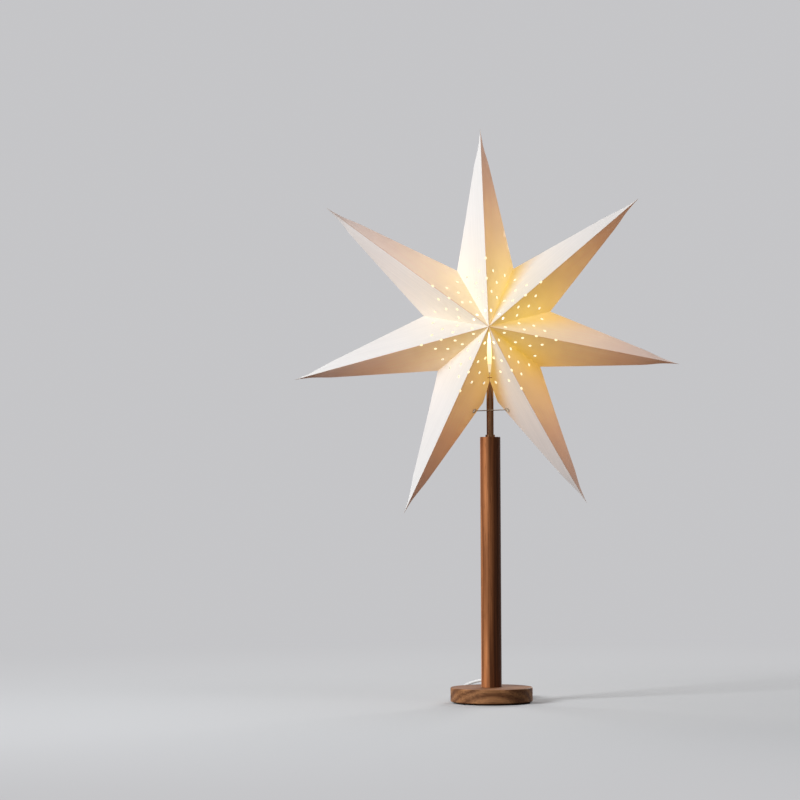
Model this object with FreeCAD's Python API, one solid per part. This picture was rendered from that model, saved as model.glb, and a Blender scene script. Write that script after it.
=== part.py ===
import FreeCAD, Part
import math
import os

# Seven-pointed folded paper star that is lit from inside, on a brass tube, a round wooden pole and a round base.
# Millimetres. Z is up, the star faces -Y, and the origin is the middle of the plane that the base stands on.

# Star shade: seven folded sheets, each one hollow four-sided point.
points = 7
star_radius = 280.0          # centre to tip
valley_radius = 91.0         # centre to the inner corner between two points
star_half_depth = 80.0       # centre to the front or back peak
star_turn = -1.8             # degrees, clockwise as seen from the front
star_shift = -3.0            # the star hangs this far beside the tube's axis
star_rise = 62.0             # star centre above the underside of the lamp holder
paper = 0.5
hole_radius = 2.2
hole_sides = 8
# Punched holes on each half of a point: distance along the fold and distance to the side of it, seen from the front.
side_holes = [(22.8, 3.9), (49.4, 5.7), (40.9, 13.2), (62.0, 13.7), (78.4, 9.2), (72.2, 25.9)]
fold_holes = [67.9, 96.2]

# Bottom seam, which is open for the tube and is drawn together with thread.
gap_start = 6.0              # all five are distances below the star's centre, along the seam
gap_end = 66.0
stitch_distance = 69.5
slot_start = 74.0
tie_distance = 115.0
gap_half_width = 3.1
gap_taper = 0.8              # below 1, the gap's ends are rounder than a sine
slot_half_angle = 17.5       # degrees
stitch_radius = 0.45
stitch_spread = 3.0
stitch_end = 1.6
string_radius = 0.6
string_gap = 0.05
eyelet_bore = 1.95
eyelet_wall = 0.4
eyelet_flange = 1.1
eyelet_lip = 0.3
eyelet_sides = 12

# Stand.
pad_radius = 5.0
pad_height = 2.0
pad_circle = 45.0
pad_count = 4
disc_radius = 57.5
disc_thickness = 20.0
disc_round = 1.5
pole_radius = 14.25
pole_length = 350.0
pole_round = 0.6
tube_radius = 5.0
tube_wall = 1.0
tube_socket = 30.0
tube_exposed = 98.0
collar_wall = 1.65
collar_height = 3.0
screw_circle = 9.7
screw_radius = 2.0
screw_head_radius = 4.0
screw_head_height = 2.4
screw_length = 40.0
screw_sink = 1.0
fit = 0.1                    # clearance around a piece that sits in a bore
past = 1.0                   # how far a cutting tool runs past the piece that it cuts

# Lamp holder for a small screw-cap bulb.
cap_radius = 13.5
cap_floor = 4.0
cap_inner = 9.0
core_radius = 10.4
core_seat = 11.0             # heights above the underside of the cap
skirt_seat = 12.0
neck_height = 5.0
neck_wall = 1.5
nut_flats = 13.0
nut_height = 3.0
nut_stand = 1.0
core_height = 8.0
liner_wall = 2.1
liner_drop = 1.0             # the liner ends this far below the sleeve's rim
sleeve_bore = 7.0
sleeve_wall = 0.4
sleeve_length = 20.0
skirt_wall = 1.4
skirt_rise = 1.0             # the lip starts this far above the sleeve's rim
skirt_lip = 2.0
skirt_mouth = 9.0
contact_height = 2.5
contact_sheet = 0.5
contact_width = 3.0
contact_foot = 5.0
contact_head = 1.5
contact_lean = 1.0
terminal_radius = 1.5
terminal_slot = 0.6
grub_radius = 1.5
grub_length = 6.0
grub_socket = 0.9
bulb_cap_gap = 0.1
bulb_cap_length = 20.0
bulb_glass_radius = 22.5
bulb_length = 77.0
bulb_neck_radius = 8.4
bulb_neck_rise = 2.0
bulb_tip_radius = 4.5
bulb_tip_rise = 1.6
bulb_shoulder_rise = 3.2
bulb_joint = 45.0            # degrees below the globe's widest ring at which the neck meets it

# Mains cord.
cord_radius = 2.0
wire_radius = 0.7
wire_offset = 1.2
wire_grip = 6.0
cable_stand = 1.0
exit_height = 30.0           # cord centre above the floor where it leaves the pole
inner_bend = 9.0
exit_bore = 4.5
relief_bore_gap = 0.05
relief_outside = 15.2
relief_inside = 5.0
relief_flange = 0.6
relief_flange_height = 1.5
relief_tip_wall = 1.0
relief_shoulder = 1.0
coil_centre = (-12.0, 114.0)
coil_outer = 30.0
coil_inner = 14.8
coil_height = 16.0
coil_round = 1.5
lead_route = [
    (0.0, 14.25, 30.0),
    (0.0, 42.25, 30.0),
    (-20.5, 61.5, 26.5),
    (-39.0, 74.5, 18.0),
    (-41.0, 94.0, 6.0),
    (-40.0, 114.0, 2.0),
]
tail_route = [
    (-31.8, 133.8, 14.0),
    (-18.0, 151.0, 11.5),
    (3.0, 160.5, 6.5),
    (26.0, 157.0, 2.2),
    (40.0, 138.0, 6.85),
    (40.0, 115.0, 6.85),
]
route_share = 0.45           # share of the shorter run that an arc may take

# Flat two-pin mains plug, lying on its side behind the base.
plug_width = 35.3
plug_thickness = 13.7
plug_length = 36.0
plug_shoulder = 15.0
plug_waist = 14.0
plug_round = 3.0
plug_sleeve = 12.0
plug_seat = 1.0              # the cord ends this far inside the sleeve
plug_sleeve_radius = 4.6
plug_sleeve_tip = 3.2
pin_radius = 2.0
pin_spacing = 19.0
pin_length = 19.0
pin_inside = 6.0
pin_round = 1.2

# Heights that follow from the sizes above.
disc_top = pad_height + disc_thickness
pole_top = disc_top + pole_length
tube_top = pole_top + tube_exposed
cap_bottom = tube_top - cap_floor - nut_height - nut_stand
core_bottom = cap_bottom + core_seat
core_top = core_bottom + core_height
skirt_bottom = cap_bottom + skirt_seat
sleeve_top = core_top + sleeve_length
bulb_bottom = core_top + contact_height
star_height = cap_bottom + star_rise
pole_bore = tube_radius + fit

UP = FreeCAD.Vector(0, 0, 1)
BACK = FreeCAD.Vector(0, 1, 0)
star_centre = FreeCAD.Vector(star_shift, 0, star_height)


def vector(x, y, z):
    return FreeCAD.Vector(x, y, z)


def cylinder(radius, bottom, top, x=0.0, y=0.0):
    """Upright cylinder between two heights."""
    return Part.makeCylinder(radius, top - bottom, vector(x, y, bottom), UP)


def ring(outer, inner, bottom, top, x=0.0, y=0.0):
    """Upright tube between two heights."""
    return cylinder(outer, bottom, top, x, y).cut(cylinder(inner, bottom - past, top + past, x, y))


def polygon(corners):
    return Part.Face(Part.makePolygon(corners + [corners[0]]))


def prism(corners, along):
    return polygon(corners).extrude(along)


def rounded_corners(centre, first, second, first_radius, second_radius, sides):
    """Corners of a regular polygon, stretched to two radii along two directions."""
    turns = [2 * math.pi * (i + 0.5) / sides for i in range(sides)]
    return [
        centre + first * (first_radius * math.cos(a)) + second * (second_radius * math.sin(a))
        for a in turns
    ]


def lathe(profile):
    """Solid of revolution about Z from a closed outline of (radius, height) points."""
    corners = [vector(r, 0, z) for r, z in profile]
    return polygon(corners).revolve(vector(0, 0, 0), UP, 360)


def smooth_path(route):
    """Straight runs joined by tangent arcs, with the arc radii in order."""
    knots = [vector(*p) for p in route]
    edges = []
    radii = []
    start = knots[0]
    for before, corner, after in zip(knots, knots[1:], knots[2:]):
        come = corner - before
        go = after - corner
        shorter = min(come.Length, go.Length)
        half_turn = come.getAngle(go) / 2
        cut = route_share * shorter
        radii.append(cut / math.tan(half_turn))
        come.normalize()
        go.normalize()
        enter = corner - come * cut
        leave = corner + go * cut
        inward = go - come
        inward.normalize()
        centre = corner + inward * (cut / math.sin(half_turn))
        middle = centre - inward * radii[-1]
        edges.append(Part.LineSegment(start, enter).toShape())
        edges.append(Part.Arc(enter, middle, leave).toShape())
        start = leave
    edges.append(Part.LineSegment(start, knots[-1]).toShape())
    return Part.Wire(edges), radii


def cord_along(path, radius):
    """Round cord whose middle follows a path."""
    start = path.Edges[0].firstVertex().Point
    heading = path.Edges[0].tangentAt(path.Edges[0].FirstParameter)
    outline = Part.Wire(Part.Circle(start, heading, radius).toShape())
    return path.makePipeShell([outline], True, False)


# The star is worked out in its own directions: out along the fold, across it, and forward or back.
def outward(angle):
    return vector(math.sin(angle), 0, math.cos(angle))


def across(angle):
    return vector(math.cos(angle), 0, -math.sin(angle))


def point_angle(number):
    return math.radians(star_turn) + 2 * math.pi * number / points


half_step = math.pi / points
tip_slope = math.atan2(valley_radius * math.sin(half_step), star_radius - valley_radius * math.cos(half_step))
edge_distance = star_radius * math.sin(tip_slope)
facet_distance = edge_distance * star_half_depth / math.hypot(edge_distance, star_half_depth)
inner_share = (facet_distance - paper) / facet_distance
seam_angle = point_angle((points - 1) // 2) + half_step
seam_down = outward(seam_angle)
seam_side = across(seam_angle)


def facet_normal(angle, hand, face):
    """Outward normal of one of a point's four facets. hand is the side of the fold and face is -1 for the front."""
    peak = BACK * (face * star_half_depth)
    corner = outward(angle + hand * half_step) * valley_radius
    tip = outward(angle) * star_radius
    normal = (corner - peak).cross(tip - peak)
    normal.normalize()
    if normal.dot(tip) < 0:
        normal = normal * -1
    return normal


def on_facet(flat, normal):
    """Depth at which a place that is seen from the front lies on a facet's outer face."""
    return (facet_distance - normal.dot(flat)) / normal.y


def folded_point(angle):
    """One sheet folded to a hollow point: two folds, four facets and an open root that meets its neighbours."""
    shells = []
    for share in (1.0, inner_share):
        peaks = [BACK * (face * star_half_depth * share) for face in (-1, 1)]
        corners = [outward(angle + hand * half_step) * (valley_radius * share) for hand in (-1, 1)]
        tip = outward(angle) * (star_radius * share)
        shells.append((peaks, corners, tip))
    faces = []
    for peaks, corners, tip in shells:
        faces += [polygon([peak, corner, tip]) for peak in peaks for corner in corners]
    (outer_peaks, outer_corners, _), (inner_peaks, inner_corners, _) = shells
    for outer, inner in zip(outer_corners, inner_corners):
        root = [outer_peaks[0], outer, outer_peaks[1], inner_peaks[1], inner, inner_peaks[0]]
        faces.append(polygon(root))
    solid = Part.Solid(Part.Shell(faces))
    if solid.Volume < 0:
        solid.reverse()
    return solid


def punches(angle):
    """Punches for every hole of one point, square to the paper. A hole on a fold is bent with it."""
    depth = 2 * paper
    tools = []
    for face in (-1, 1):
        for hand in (-1, 1):
            normal = facet_normal(angle, hand, face)
            along = across(angle) * hand
            first = normal.cross(along)
            first.normalize()
            second = normal.cross(first)
            for u, v in side_holes:
                flat = outward(angle) * u + along * v
                centre = flat + BACK * on_facet(flat, normal)
                rim = rounded_corners(centre + normal * depth, first, second, hole_radius, hole_radius, hole_sides)
                tools.append(prism(rim, normal * (-2 * depth - paper)))
        fold = outward(angle) * star_radius - BACK * (face * star_half_depth)
        fold.normalize()
        lift = fold.cross(across(angle))
        if lift.y * face < 0:
            lift = lift * -1
        lean = lift.dot(facet_normal(angle, 1, face))
        drop = hole_radius * math.sqrt(1 - lean * lean) + paper / lean + depth
        for u in fold_holes:
            centre = outward(angle) * u + BACK * (face * star_half_depth * (1 - u / star_radius))
            rim = rounded_corners(
                centre + lift * depth, fold, across(angle), hole_radius, hole_radius * lean, hole_sides
            )
            tools.append(prism(rim, lift * (-depth - drop)))
    return tools


def seam_place(down, side, depth):
    """Place near the bottom seam, from the star's centre: down along it, to its side, and back."""
    return seam_down * down + seam_side * side + BACK * depth


def seam_depth(down, side):
    """Depth of the back facet's outer face beside the bottom seam."""
    hand = 1 if side < 0 else -1
    angle = seam_angle - hand * half_step
    return on_facet(seam_place(down, side, 0), facet_normal(angle, hand, 1))


def string_side():
    """How far to the side of the seam the tie string goes through the paper."""
    reach = tube_radius + string_radius + string_gap
    near = seam_depth(tie_distance, 1)
    far = seam_depth(tie_distance, 2)
    return 1 + (reach - near) / (far - near)


def seam_openings():
    """The leaf-shaped gap in the seam, and below it the slot that widens round the tube."""
    steps = 8
    span = gap_end - gap_start
    right = [
        (gap_start + span * i / steps, gap_half_width * math.sin(math.pi * i / steps) ** gap_taper)
        for i in range(steps + 1)
    ]
    leaf = right + [(down, -side) for down, side in reversed(right[1:-1])]
    mouth = valley_radius + star_half_depth
    wide = (mouth - slot_start) * math.tan(math.radians(slot_half_angle))
    slot = [(slot_start, 0), (mouth, wide), (mouth, -wide)]
    through = BACK * (2 * star_half_depth)
    return [
        prism([seam_place(down, side, -star_half_depth) for down, side in outline], through)
        for outline in (leaf, slot)
    ]


def stitch_bars(radius, end):
    """Straight stitches over the front and back of the seam, into the paper on both sides."""
    bars = []
    for face in (-1, 1):
        depth = face * seam_depth(stitch_distance, stitch_spread)
        start = seam_place(stitch_distance, -stitch_spread - end, depth)
        rim = rounded_corners(start, seam_down, BACK, radius, radius, hole_sides)
        bars.append(prism(rim, seam_side * (2 * stitch_spread + 2 * end)))
    return bars


def eyelet_places():
    """Middle and normal of each of the four eyelets, on the paper's outer face."""
    side = string_side()
    places = []
    for face in (-1, 1):
        for hand in (-1, 1):
            angle = seam_angle - hand * half_step
            normal = facet_normal(angle, hand, face)
            flat = seam_place(tie_distance, -hand * side, 0)
            places.append((flat + BACK * on_facet(flat, normal), normal))
    return places


def eyelet_disc(place, normal, radius, low, high):
    """Many-sided disc about an eyelet's middle, between two heights above the paper's outer face."""
    first = normal.cross(BACK)
    first.normalize()
    second = normal.cross(first)
    rim = rounded_corners(place + normal * low, first, second, radius, radius, eyelet_sides)
    return prism(rim, normal * (high - low))


eyelet_barrel = eyelet_bore + eyelet_wall


def eyelets():
    made = []
    for place, normal in eyelet_places():
        barrel = eyelet_disc(place, normal, eyelet_barrel, -paper - eyelet_lip, eyelet_lip)
        outer = eyelet_disc(place, normal, eyelet_barrel + eyelet_flange, 0, eyelet_lip)
        inner = eyelet_disc(place, normal, eyelet_barrel + eyelet_flange, -paper - eyelet_lip, -paper)
        bore = eyelet_disc(place, normal, eyelet_bore, -paper - 2 * eyelet_lip, 2 * eyelet_lip)
        made.append(barrel.fuse([outer, inner]).cut(bore))
    return Part.makeCompound(made)


def eyelet_holes():
    radius = eyelet_barrel + string_gap
    return [eyelet_disc(place, normal, radius, -2 * paper, paper) for place, normal in eyelet_places()]


def tie_string():
    """Closed loop of string: one run on each side of the tube, turned back inside the two lower points."""
    reach = tube_radius + string_radius + string_gap
    turn = string_side() + reach
    corners = {
        (side, face): seam_place(tie_distance, side * turn, face * reach) for side in (-1, 1) for face in (-1, 1)
    }
    ends = {side: seam_place(tie_distance, side * (turn + reach), 0) for side in (-1, 1)}
    front = Part.LineSegment(corners[-1, -1], corners[1, -1]).toShape()
    right = Part.Arc(corners[1, -1], ends[1], corners[1, 1]).toShape()
    back = Part.LineSegment(corners[1, 1], corners[-1, 1]).toShape()
    left = Part.Arc(corners[-1, 1], ends[-1], corners[-1, -1]).toShape()
    pieces = [cord_along(Part.Wire([edge]), string_radius) for edge in (front, right, back, left)]
    return pieces[0].fuse(pieces[1:]).removeSplitter()


def base_disc():
    disc = cylinder(disc_radius, pad_height, disc_top)
    disc = disc.makeFillet(disc_round, [e for e in disc.Edges if e.Closed and len(e.Vertexes) == 1])
    return disc.cut(screw_bodies(fit))


def screw_bodies(gap):
    """Countersunk wood screws up through the base into the pole, grown by a gap."""
    low = pad_height + screw_sink
    neck = low + screw_head_height
    screws = []
    for side in (-1, 1):
        x = side * screw_circle
        shank = cylinder(screw_radius + gap, neck - past, low + screw_length + gap, x)
        head = Part.makeCone(
            screw_head_radius + gap, screw_radius + gap, screw_head_height, vector(x, 0, low), UP
        )
        screws.append(shank.fuse(head))
        if gap:
            screws.append(cylinder(screw_head_radius + gap, pad_height - past, low, x))
    return screws


def driver_slots():
    """Cross slots in the screw heads."""
    low = pad_height + screw_sink
    width = screw_radius / 2
    slots = []
    for side in (-1, 1):
        x = side * screw_circle
        for long_x, long_y in ((screw_radius, width / 2), (width / 2, screw_radius)):
            corner = vector(x - long_x, -long_y, low - past)
            slots.append(Part.makeBox(2 * long_x, 2 * long_y, past + screw_head_height / 2, corner))
    return slots


def wooden_pole():
    pole = cylinder(pole_radius, disc_top, pole_top)
    pole = pole.makeFillet(pole_round, [e for e in pole.Edges if e.Closed and len(e.Vertexes) == 1])
    floor = exit_height - pole_bore - fit
    bore = cylinder(pole_bore, floor, pole_top + past)
    side_bore = Part.makeCylinder(exit_bore, pole_radius + past, vector(0, 0, exit_height), BACK)
    return pole.cut([bore, side_bore] + screw_bodies(fit)[0::2])


def inner_cable():
    """The stretch of cord inside the pole and the tube, from the exit at the back to the lamp holder."""
    exit_point = vector(0, pole_radius, exit_height)
    level = vector(0, inner_bend, exit_height)
    middle = vector(
        0, inner_bend * (1 - math.sqrt(0.5)), exit_height + inner_bend * (1 - math.sqrt(0.5))
    )
    upright = vector(0, 0, exit_height + inner_bend)
    top = vector(0, 0, tube_top + cable_stand)
    path = Part.Wire([
        Part.LineSegment(exit_point, level).toShape(),
        Part.Arc(level, middle, upright).toShape(),
        Part.LineSegment(upright, top).toShape(),
    ])
    return cord_along(path, cord_radius)


def wire_posts(radius, extra):
    """The two stripped conductors, from the end of the cable up into the core."""
    low = tube_top + cable_stand
    return [
        cylinder(radius, low, core_bottom + wire_grip + extra, side * wire_offset) for side in (-1, 1)
    ]


def terminal_rods(radius, gap):
    """Clamping screws that reach in from the core's rim to the conductors."""
    level = core_bottom + core_height / 2
    start = wire_offset + wire_radius + fit - gap
    length = core_radius - start if gap else core_radius - start - fit
    return [
        Part.makeCylinder(radius, length + gap, vector(side * start, 0, level), vector(side, 0, 0))
        for side in (-1, 1)
    ]


def terminal_screws():
    level = core_bottom + core_height / 2
    slots = [
        Part.makeBox(
            terminal_radius, 3 * terminal_radius, terminal_slot,
            vector(side * core_radius - terminal_radius / 2, -1.5 * terminal_radius, level - terminal_slot / 2),
        )
        for side in (-1, 1)
    ]
    return Part.makeCompound([rod.cut(slots) for rod in terminal_rods(terminal_radius, 0)])


def holder_core():
    """Moulded core: a base with the terminals, and a liner round the threaded sleeve."""
    base = cylinder(core_radius, core_bottom, core_top)
    bore = sleeve_bore + sleeve_wall + fit
    liner = ring(bore + liner_wall, bore, core_top - past, sleeve_top - liner_drop)
    tools = wire_posts(wire_radius + fit, fit) + terminal_rods(terminal_radius + fit, fit)
    return base.fuse(liner).cut(tools)


def holder_cap():
    """Cup that is screwed on the tube. The core stands on the ledge inside it."""
    wide = core_radius + fit
    neck_top = skirt_bottom + neck_height
    body = cylinder(cap_radius, cap_bottom, skirt_bottom)
    neck = cylinder(wide + neck_wall, cap_bottom, neck_top)
    hollow = cylinder(cap_inner, cap_bottom + cap_floor, neck_top)
    seat = cylinder(wide, core_bottom, neck_top + past)
    bore = cylinder(tube_radius + fit, cap_bottom - past, cap_bottom + cap_floor + past)
    grub = Part.makeCylinder(
        grub_radius + fit, cap_radius, vector(0, 0, cap_bottom + cap_floor / 2), vector(1, 0, 0)
    )
    return body.fuse(neck).cut([hollow, seat, bore, grub])


def holder_skirt():
    inner = core_radius + neck_wall + 2 * fit
    outer = inner + skirt_wall
    top = sleeve_top + skirt_rise
    wall = ring(outer, inner, skirt_bottom, top)
    lip = ring(outer, skirt_mouth, top, top + skirt_lip)
    return wall.fuse(lip).removeSplitter()


def threaded_sleeve():
    return ring(sleeve_bore + sleeve_wall, sleeve_bore, core_top, sleeve_top)


def centre_contact():
    """Sprung brass bridge under the bulb's tip."""
    leg = contact_head + contact_lean
    under = contact_height - contact_sheet
    outer_head = contact_head + contact_sheet
    outline = [
        (-contact_foot, 0), (-leg, 0), (-contact_head, under), (contact_head, under), (leg, 0), (contact_foot, 0),
        (contact_foot, contact_sheet), (leg + contact_sheet, contact_sheet), (outer_head, contact_height),
        (-outer_head, contact_height), (-leg - contact_sheet, contact_sheet), (-contact_foot, contact_sheet),
    ]
    corners = [vector(x, -contact_width / 2, core_top + z) for x, z in outline]
    return prism(corners, BACK * contact_width)


def tube_locknut():
    radius = nut_flats / math.sqrt(3)
    low = cap_bottom + cap_floor
    rim = rounded_corners(vector(0, 0, low), vector(1, 0, 0), BACK, radius, radius, 6)
    return prism(rim, UP * nut_height).cut(cylinder(tube_radius + fit, low - past, low + nut_height + past))


def grub_screw():
    level = cap_bottom + cap_floor / 2
    start = vector(tube_radius + fit, 0, level)
    rod = Part.makeCylinder(grub_radius, grub_length, start, vector(1, 0, 0))
    flats = rounded_corners(
        start + vector(grub_length / 2, 0, 0), BACK, UP, grub_socket, grub_socket, 6
    )
    return rod.cut(prism(flats, vector(grub_length, 0, 0)))


def bulb():
    """Screw-cap globe bulb, closed all round: contact tip, cap, short neck and a round glass."""
    cap = sleeve_bore - bulb_cap_gap
    cap_end = bulb_bottom + bulb_cap_length
    middle = bulb_bottom + bulb_length - bulb_glass_radius
    join = math.radians(bulb_joint)
    joint = vector(bulb_glass_radius * math.sin(join), 0, middle - bulb_glass_radius * math.cos(join))
    top = vector(0, 0, middle + bulb_glass_radius)
    corners = [
        vector(0, 0, bulb_bottom),
        vector(contact_head, 0, bulb_bottom),
        vector(bulb_tip_radius, 0, bulb_bottom + bulb_tip_rise),
        vector(cap, 0, bulb_bottom + bulb_shoulder_rise),
        vector(cap, 0, cap_end),
        vector(bulb_neck_radius, 0, cap_end + bulb_neck_rise),
        joint,
    ]
    outline = Part.makePolygon(corners)
    side = vector(bulb_glass_radius, 0, middle)
    glass = Part.Arc(joint, side, top).toShape()
    axis = Part.LineSegment(top, corners[0]).toShape()
    face = Part.Face(Part.Wire(outline.Edges + [glass, axis]))
    return face.revolve(vector(0, 0, 0), UP, 360)


def strain_relief():
    """Tapered soft sleeve that is pushed into the hole at the back of the pole and grips the cord."""
    bore = cord_radius + relief_bore_gap
    push = exit_bore - relief_bore_gap
    tip = cord_radius + relief_tip_wall
    surface = pole_radius
    profile = [
        (bore, surface - relief_inside),
        (push, surface - relief_inside),
        (push, surface),
        (push + relief_flange, surface),
        (push + relief_flange, surface + relief_flange_height),
        (tip + relief_tip_wall, surface + relief_flange_height + relief_shoulder),
        (tip, surface + relief_outside),
        (bore, surface + relief_outside),
    ]
    sleeve = lathe(profile)
    sleeve.Placement = FreeCAD.Placement(vector(0, 0, exit_height), FreeCAD.Rotation(vector(1, 0, 0), -90))
    return sleeve


def cord_coil():
    """Outer shape of the neatly wound cord behind the base."""
    x, y = coil_centre
    coil = ring(coil_outer, coil_inner, 0, coil_height, x, y)
    return coil.makeFillet(coil_round, [e for e in coil.Edges if e.Closed and len(e.Vertexes) == 1])


def plug_body():
    """Flat plug that narrows to a tapered sleeve, with the cord's end seated inside the sleeve."""
    x, entry, level = tail_route[-1]
    rear = entry - plug_seat
    front = rear - plug_length
    half = plug_width / 2
    waist = plug_waist / 2
    low = level - plug_thickness / 2
    corners = [
        vector(x - half, front, low), vector(x + half, front, low),
        vector(x + half, front + plug_shoulder, low), vector(x + waist, rear, low),
        vector(x - waist, rear, low), vector(x - half, front + plug_shoulder, low),
    ]
    body = prism(corners, UP * plug_thickness)
    front_face = min(body.Faces, key=lambda face: face.CenterOfMass.y)
    soft = [e for e in body.Edges if not any(e.isSame(s) for s in front_face.Edges)]
    body = body.makeFillet(plug_round, soft)
    sleeve = Part.makeCone(
        plug_sleeve_radius, plug_sleeve_tip, plug_sleeve, vector(x, rear, level), BACK
    )
    bore = Part.makeCylinder(
        cord_radius + relief_bore_gap, plug_sleeve, vector(x, entry, level), BACK
    )
    sockets = pin_rods(pin_radius + relief_bore_gap, relief_bore_gap)
    return body.fuse(sleeve).cut([bore] + sockets)


def pin_rods(radius, extra):
    x, entry, level = tail_route[-1]
    front = entry - plug_seat - plug_length
    return [
        Part.makeCylinder(
            radius, pin_length + pin_inside + extra,
            vector(x + side * pin_spacing / 2, front - pin_length, level), BACK,
        )
        for side in (-1, 1)
    ]


def plug_pins():
    rods = []
    for rod in pin_rods(pin_radius, 0):
        end = min((e for e in rod.Edges if e.Closed), key=lambda edge: edge.CenterOfMass.y)
        rods.append(rod.makeFillet(pin_round, [end]))
    return Part.makeCompound(rods)


def star_nodes():
    """The seven points. The two that meet at the bottom seam also get its gap, slot, stitch and eyelet holes."""
    seam_tools = seam_openings() + stitch_bars(stitch_radius + string_gap, stitch_end) + eyelet_holes()
    right_of_seam = (points - 1) // 2
    nodes = {}
    for number in range(points):
        angle = point_angle(number)
        sheet = folded_point(angle).cut(punches(angle))
        if number in (right_of_seam, right_of_seam + 1):
            sheet = sheet.cut(seam_tools)
        nodes[f"star_point_{number + 1}"] = sheet
    nodes["seam_stitches"] = Part.makeCompound(stitch_bars(stitch_radius, stitch_end))
    nodes["tie_eyelets"] = eyelets()
    nodes["tie_string"] = tie_string()
    for shape in nodes.values():
        shape.translate(star_centre)
    return nodes


def stand_nodes():
    nodes = {
        "base_disc": base_disc(),
        "wooden_pole": wooden_pole(),
        "base_screws": Part.makeCompound([s.cut(driver_slots()) for s in screw_bodies(0)]),
        "brass_tube": ring(tube_radius, tube_radius - tube_wall, pole_top - tube_socket, tube_top),
        "tube_collar": ring(pole_bore + collar_wall, pole_bore, pole_top, pole_top + collar_height),
    }
    for number in range(pad_count):
        turn = 2 * math.pi * (number + 0.5) / pad_count
        x = pad_circle * math.cos(turn)
        y = pad_circle * math.sin(turn)
        nodes[f"floor_pad_{number + 1}"] = cylinder(pad_radius, 0, pad_height, x, y)
    return nodes


def holder_nodes():
    return {
        "holder_cap": holder_cap(),
        "holder_core": holder_core(),
        "holder_skirt": holder_skirt(),
        "threaded_sleeve": threaded_sleeve(),
        "centre_contact": centre_contact(),
        "terminal_screws": terminal_screws(),
        "tube_locknut": tube_locknut(),
        "grub_screw": grub_screw(),
        "bulb": bulb(),
    }


def cord_nodes():
    lead, lead_radii = smooth_path(lead_route)
    tail, tail_radii = smooth_path(tail_route)
    for name, path, radii in (("lead", lead, lead_radii), ("tail", tail, tail_radii)):
        print(name, "length", round(path.Length, 1), "radii", [round(r, 1) for r in radii])
    nodes = {
        "inner_cable": inner_cable(),
        "cable_wires": Part.makeCompound(wire_posts(wire_radius, 0)),
        "strain_relief": strain_relief(),
        "cord_lead": cord_along(lead, cord_radius),
        "cord_coil": cord_coil(),
        "cord_tail": cord_along(tail, cord_radius),
        "plug_body": plug_body(),
        "plug_pins": plug_pins(),
    }
    for name, path in (("cord_lead", lead), ("cord_tail", tail)):
        share = nodes[name].Volume / (math.pi * cord_radius ** 2 * path.Length)
        print(name, "volume over section times length", round(share, 5))
    return nodes


os.makedirs("parts", exist_ok=True)
for node_name, node_shape in {**star_nodes(), **stand_nodes(), **holder_nodes(), **cord_nodes()}.items():
    node_shape.exportStep(f"parts/{node_name}.step")
    print(node_name, len(node_shape.Solids), round(node_shape.Volume, 1), node_shape.isValid())
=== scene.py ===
# %% [markdown]
# This lesson dresses a table lamp whose shade is a large folded paper star. The solid parts come from a
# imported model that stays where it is. The paper, the light inside it, the wood, the metal and the cord get
# their looks here.

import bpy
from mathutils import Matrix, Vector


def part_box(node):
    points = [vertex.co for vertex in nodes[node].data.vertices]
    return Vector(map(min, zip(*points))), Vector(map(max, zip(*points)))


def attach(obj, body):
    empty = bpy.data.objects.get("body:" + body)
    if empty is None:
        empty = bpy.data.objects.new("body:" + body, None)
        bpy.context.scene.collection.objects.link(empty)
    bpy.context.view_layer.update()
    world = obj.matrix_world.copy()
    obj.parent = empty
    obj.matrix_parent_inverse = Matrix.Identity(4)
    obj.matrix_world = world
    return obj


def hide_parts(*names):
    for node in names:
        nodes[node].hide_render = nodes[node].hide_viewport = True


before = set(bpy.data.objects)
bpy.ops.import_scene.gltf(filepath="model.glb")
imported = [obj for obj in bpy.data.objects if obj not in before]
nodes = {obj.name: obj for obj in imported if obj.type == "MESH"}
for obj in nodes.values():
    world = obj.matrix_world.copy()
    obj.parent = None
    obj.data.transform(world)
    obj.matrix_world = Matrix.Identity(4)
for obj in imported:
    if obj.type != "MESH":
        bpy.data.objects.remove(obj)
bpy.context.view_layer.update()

# %% [markdown]
# The camera comes first, because everything else is seen through it. The photograph was taken from five
# metres with a long lens, a little left of the lamp and at the height of its pole, so upright lines stay
# almost parallel.

# %% Camera
import math

import bpy
import numpy as np
from mathutils import Matrix, Vector
from mathutils.geometry import delaunay_2d_cdt

scene = bpy.context.scene
camera_place = Vector((-0.126, -5.0, 0.378))
lens = 160.7
sensor_width = 36.0
pitch = math.radians(0.53)
roll = math.radians(-0.3)

camera = bpy.data.objects.new("camera", bpy.data.cameras.new("camera"))
scene.collection.objects.link(camera)
camera.data.lens = lens
camera.data.sensor_width = sensor_width
camera.data.clip_end = 200.0
camera.matrix_world = (
    Matrix.Translation(camera_place)
    @ Matrix.Rotation(math.pi / 2 + pitch, 4, "X")
    @ Matrix.Rotation(roll, 4, "Z")
)
scene.camera = camera
scene.view_settings.view_transform = "Standard"
print("millimetres in the frame at the lamp", round(sensor_width / lens * -camera_place.y * 1000))

# %% [markdown]
# A material is a small graph of nodes. Three helpers keep the graphs short: one starts a material, one adds
# a node and wires its sockets, and one adds a colour ramp. A plain number is set on the socket itself, and
# a socket given as a value is linked, so each finish below reads like a recipe.

# %% Helpers for materials
def start_material(name, colour, roughness, metallic, specular):
    """A new material with one Principled shader, and that shader."""
    made = bpy.data.materials.new(name)
    made.use_nodes = True
    shader = made.node_tree.nodes["Principled BSDF"]
    shader.inputs["Base Color"].default_value = (*colour, 1.0)
    shader.inputs["Roughness"].default_value = roughness
    shader.inputs["Metallic"].default_value = metallic
    shader.inputs["Specular IOR Level"].default_value = specular
    return made, shader


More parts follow.
